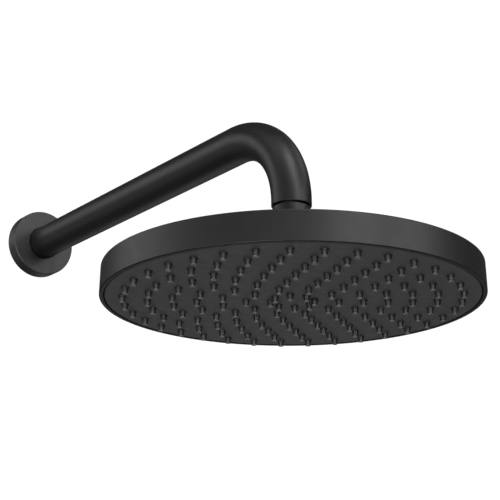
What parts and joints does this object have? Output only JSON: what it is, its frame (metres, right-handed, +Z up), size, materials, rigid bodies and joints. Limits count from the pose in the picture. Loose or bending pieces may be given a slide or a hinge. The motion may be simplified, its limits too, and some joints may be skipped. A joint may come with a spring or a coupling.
{
  "type": "wall-mounted rain shower",
  "caption": "Bent wall shower arm with round wall flange and a flat round rain shower head on a ball joint, matte black.",
  "frame": {"origin": "centre of the wall flange's back face, on the wall, on the arm's axis", "axes": "+Y into the wall along the arm's straight run, +Z up, head hanging level on the -Y side"},
  "size_m": [0.23, 0.455, 0.147],
  "materials": {
    "black_paint": "satin black powder coat, very fine grain",
    "black_shell": "satin black painted plastic, very fine grain",
    "black_face": "matte black moulded plastic",
    "black_silicone": "soft black silicone, slight sheen",
    "rubber": "black seal rubber",
    "foam": "closed cell foam",
    "brass": "turned brass",
    "steel": "plain steel",
    "grey_plastic": "moulded plastic",
    "white_plastic": "moulded acetal",
    "seal_tape": "thread seal tape"
  },
  "bodies": {
    "arm": {"wall_flange": "black_paint", "flange_o_ring": "rubber", "flange_wall_gasket": "foam", "wall_nipple": "brass", "thread_seal_tape": "seal_tape", "shower_arm": "black_paint", "outlet_nipple": "black_paint", "inlet_washer": "rubber", "filter_screen": "steel", "flow_regulator": "white_plastic", "ball_connector": "black_paint"},
    "upper_liner": {"ball_slip_ring": "white_plastic"},
    "lower_liner": {"ball_seat_seal": "rubber"},
    "head": {"retaining_cap": "black_paint", "inlet_socket": "brass", "socket_o_ring": "rubber", "head_housing": "black_shell", "chamber_cover": "grey_plastic", "chamber_seal": "rubber", "cover_washer": "rubber", "socket_lock_nut": "brass", "nozzle_mat": "black_silicone", "face_plate": "black_face", "cover_screw_1": "steel", "cover_screw_2": "steel", "cover_screw_3": "steel", "cover_screw_4": "steel", "cover_screw_5": "steel", "cover_screw_6": "steel"}
  },
  "joints": [
    {"name": "head_tilt_fore_aft", "type": "hinge", "parent": "arm", "child": "upper_liner", "pos_m": [0, -0.325, -0.086], "axis": [1, 0, 0], "range_deg": [-12, 12]},
    {"name": "head_tilt_sideways", "type": "hinge", "parent": "upper_liner", "child": "lower_liner", "pos_m": [0, -0.325, -0.086], "axis": [0, 1, 0], "range_deg": [-12, 12]},
    {"name": "head_swivel", "type": "hinge", "parent": "lower_liner", "child": "head", "pos_m": [0, -0.325, -0.086], "axis": [0, 0, 1], "continuous": true}
  ]
}
